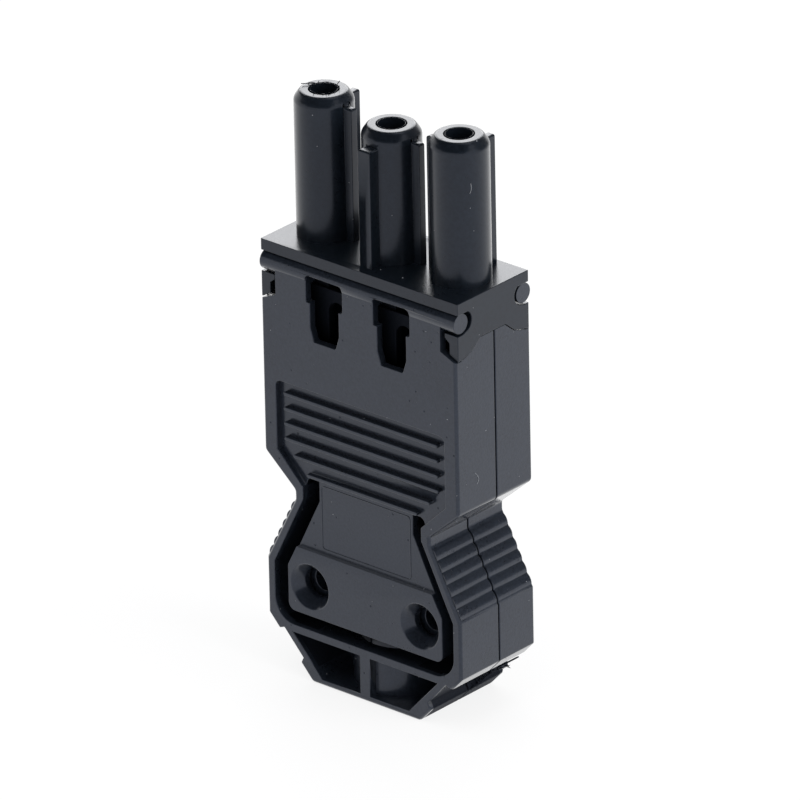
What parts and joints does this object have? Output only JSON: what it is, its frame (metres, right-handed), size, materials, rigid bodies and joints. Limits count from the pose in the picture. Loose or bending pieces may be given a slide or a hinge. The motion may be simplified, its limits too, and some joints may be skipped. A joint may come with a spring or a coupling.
{
  "type": "female installation connector",
  "caption": "Black plastic female connector with socket tubes, coding ribs, a ribbed grip, a strain-relief tongue and screw clamps, closed on a cable by hooked half shells.",
  "frame": {"origin": "middle of the nose's flat end, half way through the depth", "axes": "+Z along the socket tubes, out of their mouths; +X across the width, from neutral to line; -Y out of the face with the latch windows"},
  "size_m": [0.0292, 0.0132, 0.071],
  "materials": {
    "insert_black": "semi-gloss",
    "shell_black": "satin",
    "contact_brass": "plated satin",
    "spring_steel": "brushed",
    "clamp_brass": "satin",
    "screw_steel": "zinc plated"
  },
  "bodies": {
    "root": {"socket_insert": "insert_black", "front_shell": "shell_black", "rear_shell": "shell_black", "socket_contact_neutral": "contact_brass", "contact_spring_neutral": "spring_steel", "clamp_cage_neutral": "clamp_brass", "clamp_screw_neutral": "screw_steel", "wire_guard_neutral": "spring_steel", "socket_contact_earth": "contact_brass", "contact_spring_earth": "spring_steel", "clamp_cage_earth": "clamp_brass", "clamp_screw_earth": "screw_steel", "wire_guard_earth": "spring_steel", "socket_contact_line": "contact_brass", "contact_spring_line": "spring_steel", "clamp_cage_line": "clamp_brass", "clamp_screw_line": "screw_steel", "wire_guard_line": "spring_steel"}
  },
  "joints": []
}
